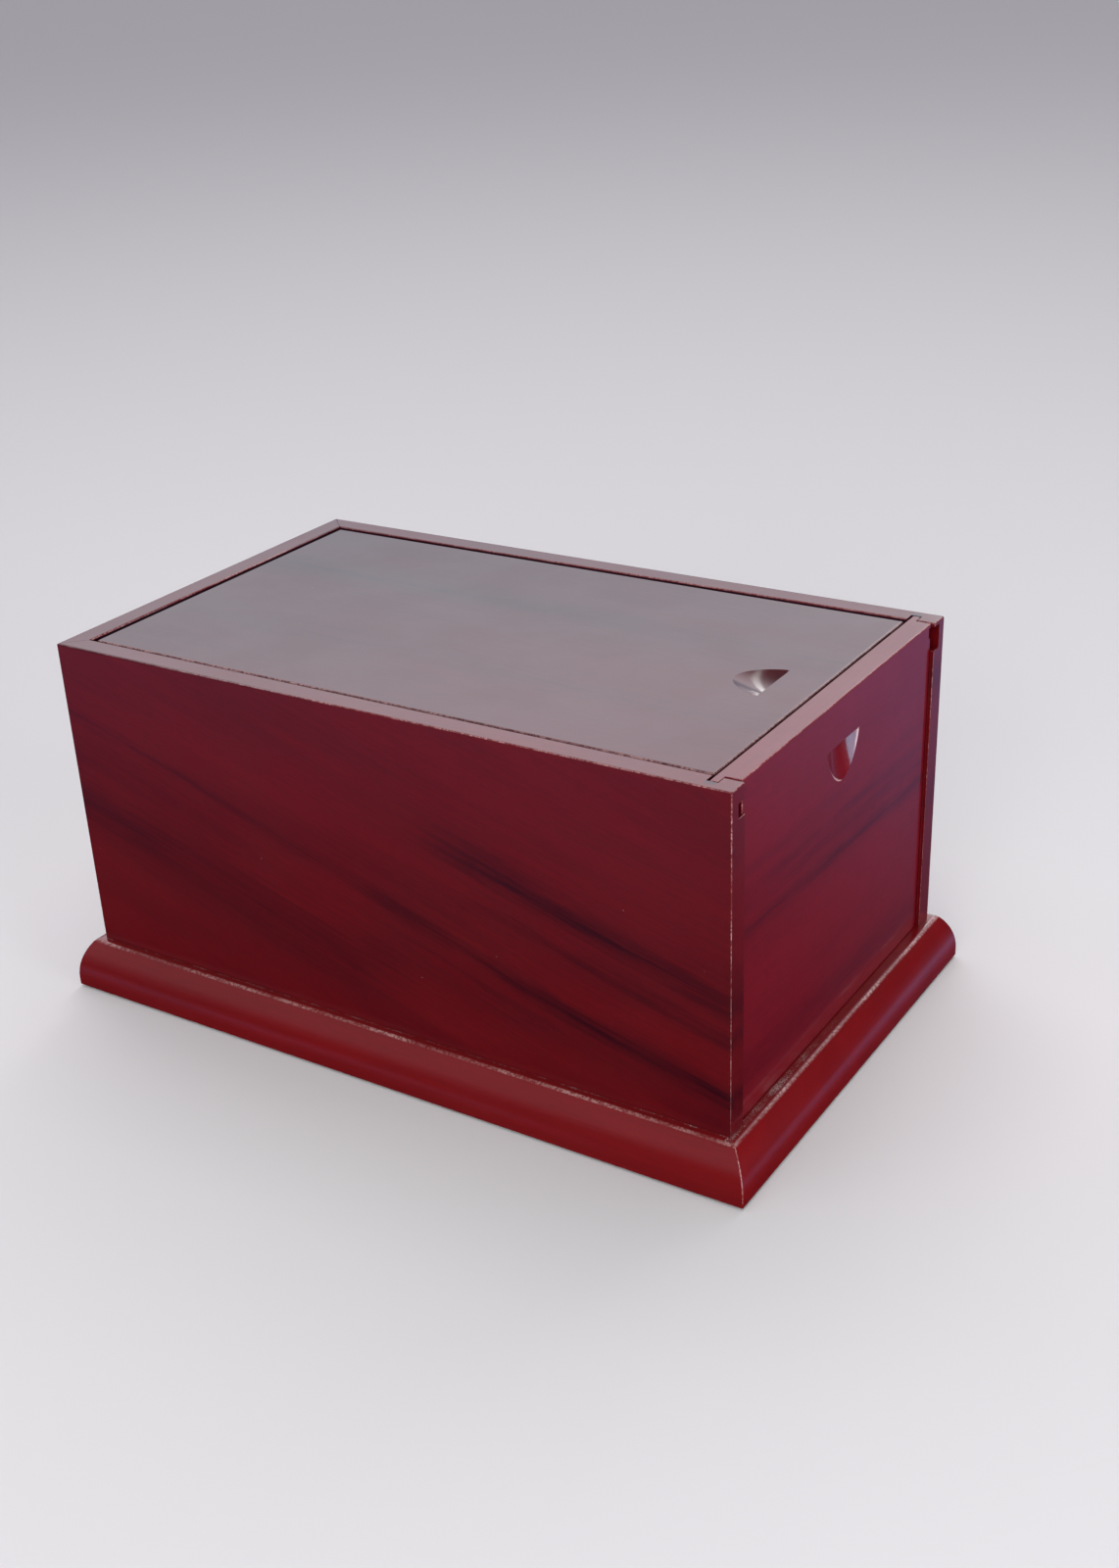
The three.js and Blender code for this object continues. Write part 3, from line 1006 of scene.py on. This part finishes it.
@dataclass(frozen=True)
class RisingBoard:
    """The end board that is pushed up: a tongue on each edge, a thumb scoop, and a nick in one arris."""

    finish: LacqueredWood
    # its scoop's edge carries painted highlights
    scoop: ThumbScoop = ThumbScoop(rubbed=1.0)
    scoop_drop: float = 14.6
    tongue: float = 2.6
    narrowing: float = 4.1
    nick_width: float = 1.6
    nick_depth: float = 1.2
    nick_top: float = 1.2
    nick_foot: float = 5.0
    arris: float = 0.45

    def build(self) -> bpy.types.Object:
        """Makes the board: its plan carried upwards, with the nick cut from one arris.

        Returns:
            The piece.
        """
        low, high = node_box("end_panel")
        inner, front = low[0], high[0]
        step = inner + self.tongue
        wide, narrow = high[1], high[1] - self.narrowing
        notch_y, notch_x = narrow - self.nick_width, front - self.nick_depth
        soft = 0.25
        corners = [(inner, -wide, soft), (step, -wide, soft), (step, -narrow, 0.1),
                   (front, -narrow, self.arris), (front, 0.0, 0.0), (front, notch_y, 0.0),
                   (front, narrow, self.arris), (notch_x, narrow, 0.0), (step, narrow, 0.1),
                   (step, wide, soft), (inner, wide, soft)]
        outline = eased(corners)
        foot, top = high[2] - self.nick_foot, high[2] - self.nick_top
        run = carried(outline, low[2], high[2], (0.3, self.arris), [foot, foot, top, top])
        inside = np.zeros(len(run.along), bool)
        inside[STEPS + 2:STEPS + 4] = True
        nicked = inside[:, None] & (outline.corner == 6)[None]
        x = np.where(nicked, notch_x, run.section[..., 0])
        y = np.where(nicked, notch_y, run.section[..., 1])
        points = in_space(x, y, run.along)
        left = int(np.flatnonzero(outline.corner == 3)[-1])
        keep = np.ones((len(run.along) - 1, len(outline.corner)), bool)
        keep[STEPS:-STEPS, left:left + 2] = False
        solid = Solid()
        solid.run(run, points, keep)
        upper, lower = len(run.along) - STEPS - 1, STEPS
        sides = [np.concatenate([points[upper, left + 1][None], points[upper:lower - 1:-1, left + j],
                                 points[lower, left + 1][None]]) for j in (0, 2)]
        hollowed(solid, self.scoop, np.array([(0, 0, -1), (0, 1, 0), (-1, 0, 0)], float),
                 np.array([front, 0.0, high[2] - self.scoop_drop]), *sides)
        return solid.made("rising_end_board", Body.END_PANEL, "panel_board", self.finish, "end_panel")


@dataclass(frozen=True)
class SlidingLid:
    """The lid: a raised field over a thinner tongue on three edges, with a thumb scoop near its front."""

    finish: LacqueredWood
    scoop: ThumbScoop = ThumbScoop()
    scoop_setback: float = 14.3
    tongue_side: float = 4.8
    tongue_end: float = 4.6
    tongue_thickness: float = 3.9
    arris: float = 0.7

    def build(self) -> bpy.types.Object:
        """Makes the lid: a rectangle carried upwards, which steps in above the tongue.

        Returns:
            The piece.
        """
        low, high = node_box("lid")
        tongue_top = low[2] + self.tongue_thickness
        soft = 0.3
        under = [soft * EARLY, low[2] + soft * LATE]
        shoulder = [soft * LATE, tongue_top - soft * EARLY]
        crown = [self.arris * LATE, high[2] - self.arris * EARLY]
        pulled = np.concatenate([under[0], shoulder[0], [0.0], crown[0]])[:, None]
        height = np.concatenate([under[1], shoulder[1], [tongue_top], crown[1]])[:, None]
        stepped = np.arange(len(height))[:, None] > 2 * STEPS + 1
        corners = [(-1.0, -1.0, 0.5), (1.0, -1.0, 0.5), (1.0, 0.0, 0.0), (1.0, 1.0, 0.5), (-1.0, 1.0, 0.5),
                   (-1.0, 0.0, 0.0)]
        scale = np.array([(high[0] - low[0]) / 2, high[1], 1.0])
        middle = np.array([(high[0] + low[0]) / 2, 0.0, 0.0])
        outline = eased(np.array(corners) * scale + middle)
        off = outline.points - middle[:2]
        toward = np.sign(off) * (np.abs(off) > scale[:2] - 0.6)
        step = np.where(toward < 0, (self.tongue_end, self.tongue_side), (0.0, self.tongue_side))
        shrink = pulled[..., None] + stepped[..., None] * step[None]
        spread = outline.points[None] - toward[None] * shrink
        points = in_space(spread[..., 0], spread[..., 1], height)
        arris = np.maximum(np.sin(2 * np.arccos(np.clip(1 - pulled / self.arris, 0, 1))) * stepped,
                           outline.arris[None] * 0.5)
        # painted shade on the tongue's top edge and the foot of the raised field, in the gap by the walls
        arris[STEPS + 1:2 * STEPS + 4] = -1.0
        solid = Solid()
        bands = np.ones((len(height) - 1, 1), bool)
        bands[[STEPS, 2 * STEPS + 1, 2 * STEPS + 2]] = False
        same = (outline.corner == np.roll(outline.corner, -1))[None]
        solid.grid(points, arris, bands | same, closed=True)
        solid.plane(points[0])
        top = points[-1]
        front = int(np.flatnonzero(outline.corner == 2)[0])
        back = int(np.flatnonzero(outline.corner == 5)[0])
        minus = top[np.r_[front:-1:-1, back]]
        plus = top[front:back + 1]
        hollowed(solid, self.scoop, np.array([(-1, 0, 0), (0, 1, 0), (0, 0, -1)], float),
                 np.array([high[0] - self.scoop_setback, 0.0, high[2]]), minus, plus)
        return solid.made("sliding_lid_board", Body.LID, "lid_board", self.finish, "lid")


@dataclass(frozen=True)
class Underlay:
    """The felt sheet under the base."""

    finish: Felt
    corner: float = 5.0
    easing: float = 0.18

    def build(self) -> bpy.types.Object:
        """Makes the felt: a rectangle with round corners and softened edges.

        Returns:
            The piece.
        """
        low, high = node_box("felt_sheet")
        run = carried(rectangle(low, high, self.corner), low[2], high[2], (self.easing, self.easing))
        solid = Solid()
        solid.run(run, in_space(run.section[..., 0], run.section[..., 1], run.along))
        piece = solid.made("felt_underlay", Body.CASE, "underlay_felt", self.finish, "felt_sheet")
        return piece


# ---- studio ----


@dataclass(frozen=True)
class Softbox:
    """One light, which faces the box, in metres and watts."""

    name: str
    place: tuple[float, float, float]
    size: tuple[float, float]
    power: float
    tint: Colour = (1.0, 0.98, 0.96)
    spread: float = 90.0        # full angle of its grid, in degrees, which keeps light off the floor by it
    mirrored: bool = False      # whether the lacquer's gloss shows it

    def build(self) -> None:
        """Hangs the light."""
        data = bpy.data.lights.new(self.name, "AREA")
        data.shape = "RECTANGLE"
        data.size, data.size_y = self.size
        data.energy = self.power
        data.color = self.tint
        data.spread = math.radians(self.spread)
        lamp = linked(self.name, data)
        lamp.visible_camera = False
        lamp.visible_glossy = self.mirrored
        aim = (Vector((0.0, 0.0, 0.06)) - Vector(self.place)).to_track_quat("-Z", "Y")
        lamp.matrix_world = Matrix.Translation(self.place) @ aim.to_matrix().to_4x4()


@dataclass(frozen=True)
class Studio:
    """The floor, the light and the camera. Angles are in degrees."""

    eye: tuple[float, float, float] = (0.3333, -0.4809, 0.3480)     # the camera's place, in metres
    azimuth: float = 33.472                          # 0 looks along +Y and 90 along -X
    elevation: float = 27.147
    roll: float = -2.674
    lens: float = 43.44                              # for a sensor 36 mm wide
    shift: tuple[float, float] = (0.0086, 0.0423)    # across and up
    lights: tuple[Softbox, ...] = (
        Softbox("overhead_softbox", (0.0, 0.0, 2.2), (2.4, 2.4), 22.5, (1.0, 0.99, 0.98), 180.0),
        Softbox("front_softbox", (0.5, -1.8, 0.8), (1.4, 1.0), 5.2),
        Softbox("side_softbox", (1.7, -0.2, 0.3), (1.0, 0.8), 4.4),
        Softbox("side_window", (1.95, 0.52, -0.08), (0.75, 0.95), 2.6, (0.38, 0.72, 1.0), mirrored=True))

    def camera(self) -> None:
        """Sets up the camera."""
        data = bpy.data.cameras.new("camera")
        data.lens = self.lens
        data.sensor_width = 36.0
        data.shift_x, data.shift_y = self.shift
        data.clip_start, data.clip_end = 0.01, 100.0
        camera = linked("camera", data)
        turn, rise = math.radians(self.azimuth), math.radians(self.elevation)
        back = Vector((math.sin(turn) * math.cos(rise), -math.cos(turn) * math.cos(rise), math.sin(rise)))
        aim = (-back).to_track_quat("-Z", "Y").to_matrix()
        lean = Matrix.Rotation(math.radians(self.roll), 3, "Z")
        camera.matrix_world = Matrix.Translation(self.eye) @ (aim @ lean).to_4x4()
        bpy.context.scene.camera = camera

    def floor(self) -> None:
        """Lays the pale floor. The lacquer's gloss doesn't see it, so that its colour stays deep."""
        mesh = bpy.data.meshes.new("floor")
        reach = 12.0
        mesh.from_pydata([(-reach, -reach, 0), (reach, -reach, 0), (reach, reach, 0), (-reach, reach, 0)],
                         [], [(0, 1, 2, 3)])
        floor = linked("floor", mesh)
        material = bpy.data.materials.new("pale_floor")
        material.use_nodes = True
        shader = material.node_tree.nodes["Principled BSDF"]
        shader.inputs["Base Color"].default_value = (0.80, 0.80, 0.81, 1.0)
        shader.inputs["Roughness"].default_value = 0.9
        mesh.materials.append(material)
        floor.visible_glossy = False

    def world(self) -> None:
        """Sets the light from all round, by direction. The room is dark below, with a bluish haze on two
        sides, and pale above. Behind the box are a low wall, a high glow and one bright gap. The camera
        itself sees an even grey."""
        world = bpy.data.worlds.new("studio")
        bpy.context.scene.world = world
        world.use_nodes = True
        world.node_tree.nodes.clear()
        graph = Graph(world.node_tree)
        x, y, z = graph.parts(graph.put("TexCoord").outputs["Generated"])
        flat = graph.put("CombineXYZ", {0: x, 1: y}).outputs[0]
        level = graph.put("VectorMath", {0: flat}, operation="NORMALIZE").outputs["Vector"]
        behind, aside, above = (
            graph.put("VectorMath", {0: level, 1: toward}, operation="DOT_PRODUCT").outputs["Value"]
            for toward in ((-0.35, 0.937, 0.0), (0.853, 0.522, 0.0), (-0.54, 0.84, 0.0)))
        ratio = graph.math("DIVIDE", x, y)
        front = graph.fade(y, 0.0, -0.4)
        beyond = graph.math("MAXIMUM", graph.times(front, graph.fade(ratio, 0.38, 0.56)),
                            graph.times(graph.fade(x, -0.05, 0.2), graph.fade(y, 0.5, 0.7)))
        depth = graph.math("ADD", z, graph.times(graph.math("MULTIPLY_ADD", x, 0.35, 0.2), front))
        haze = graph.times(graph.fade(depth, -0.5, -0.33), graph.fade(depth, -0.2, -0.33), beyond)
        table = graph.times(graph.fade(y, 0.74, 0.84), graph.fade(z, 0.0, -0.25), beyond)
        room = graph.times(graph.fade(z, -0.1, 0.2), graph.fade(z, 1.0, 0.55, 0.35, 1.0),
                           graph.fade(aside, 0.70, 0.84, 1.0, 0.1))
        fill = graph.times(front, graph.fade(z, 0.05, 0.3))
        wall = graph.times(graph.fade(z, -0.1, 0.15), graph.fade(z, 0.4, 0.1), graph.fade(behind, 0.7, 0.95))
        glow = graph.times(graph.fade(z, 0.19, 0.46), graph.fade(z, 0.95, 0.7), graph.fade(above, 0.5, 0.8))
        pale = graph.mix(graph.fade(z, 0.3, 0.42), (1.12, 1.29, 1.34), (1.40, 1.21, 1.30))
        slant = graph.math("MULTIPLY_ADD", z, -0.45, graph.math("ADD", ratio, 0.482))
        gap = graph.times(graph.fade(graph.math("ABSOLUTE", slant), 0.040, 0.025),
                          graph.fade(z, 0.26, 0.32), graph.fade(y, 0.1, 0.3))
        colour = graph.mix(haze, (0.002, 0.002, 0.003), (0.11, 0.14, 0.30))
        for mask, tone in ((table, (0.055, 0.04, 0.07)), (room, (0.17, 0.18, 0.22)),
                           (fill, (0.12, 0.13, 0.12)), (wall, (0.22, 0.27, 0.36)), (glow, pale),
                           (gap, (4.0, 4.0, 3.9))):
            colour = graph.mix(mask, colour, tone, "ADD")
        colour = graph.mix(graph.put("LightPath").outputs["Is Camera Ray"], colour, (0.5, 0.5, 0.52))
        background = graph.put("Background", {"Color": colour, "Strength": 1.0})
        graph.put("OutputWorld", {"Surface": background.outputs[0]})

    def build(self) -> None:
        """Sets up the whole studio."""
        self.camera()
        self.floor()
        self.world()
        for light in self.lights:
            light.build()
        bpy.context.scene.view_settings.view_transform = "Standard"


def main() -> None:
    """Builds the looks piece by piece round the frame."""
    logging.basicConfig(level=logging.INFO, format="%(name)s: %(message)s")
    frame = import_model()
    Studio().build()

    red, deep = (0.138, 0.0028, 0.0055), (0.030, 0.0018, 0.006)
    near = LacqueredWood(
        "mahogany_near_side", Lie.SIDE, red, deep, tilt=16.7, wander=9.0, seed=11.0,
        streaks=(Streak(99.5, 4.0, 0.40, begin=-15.0), Streak(102.0, 10.0, 0.22, begin=-20.0),
                 Streak(87.5, 3.0, 0.34, begin=0.0), Streak(66.8, 3.2, 0.44, begin=-40.0),
                 Streak(67.5, 2.5, 0.28, end=-20.0), Streak(60.0, 14.0, 0.14, begin=-30.0),
                 Streak(39.0, 13.0, 0.28, end=10.0), Streak(32.0, 5.0, 0.15, end=-85.0)))
    far = LacqueredWood("mahogany_far_side", Lie.SIDE, red, deep, tilt=-9.0, wander=20.0, seed=340.0,
                        streaks=(Streak(88.0, 6.0, 0.3), Streak(46.0, 9.0, 0.25)))
    closed = LacqueredWood("mahogany_closed_end", Lie.END, red, deep, tilt=6.0, wander=18.0, seed=610.0,
                           streaks=(Streak(92.0, 6.0, 0.25), Streak(52.0, 7.0, 0.3)))
    panel = LacqueredWood(
        "mahogany_end_board", Lie.END, (0.178, 0.0040, 0.0105), (0.05, 0.0025, 0.009),
        tilt=2.4, wander=5.0, seed=905.0, mottle=0.15,
        streaks=(Streak(78.5, 2.8, 0.5), Streak(85.5, 2.4, 0.32), Streak(91.0, 2.0, 0.28),
                 Streak(98.0, 2.0, 0.16), Streak(31.0, 6.0, 0.25)))
    lid = LacqueredWood("mahogany_lid", Lie.FLAT, (0.08, 0.010, 0.014), (0.025, 0.005, 0.008), tilt=2.0,
                        wander=25.0, seed=1300.0, streaks=(Streak(24.0, 9.0, 0.4), Streak(-30.0, 6.0, 0.3)))
    base = LacqueredWood("mahogany_base", Lie.FLAT, (0.19, 0.0045, 0.0065), (0.085, 0.003, 0.005),
                         wander=16.0, seed=1750.0, dusty=True)

    BaseBoard(base).build()
    Walls(near, far, closed).build()
    RisingBoard(panel).build()
    SlidingLid(lid).build()
    Underlay(Felt("felt_green", (0.035, 0.10, 0.055), (0.012, 0.042, 0.022))).build()
    steel = ZincedSteel("zinced_steel").made()
    for name, node in frame["nodes"].items():
        if name.startswith("screw_"):
            node.data.materials.clear()
            node.data.materials.append(steel)
            LOG.info("%s keeps its own shape", name)


if __name__ == "__main__":
    main()
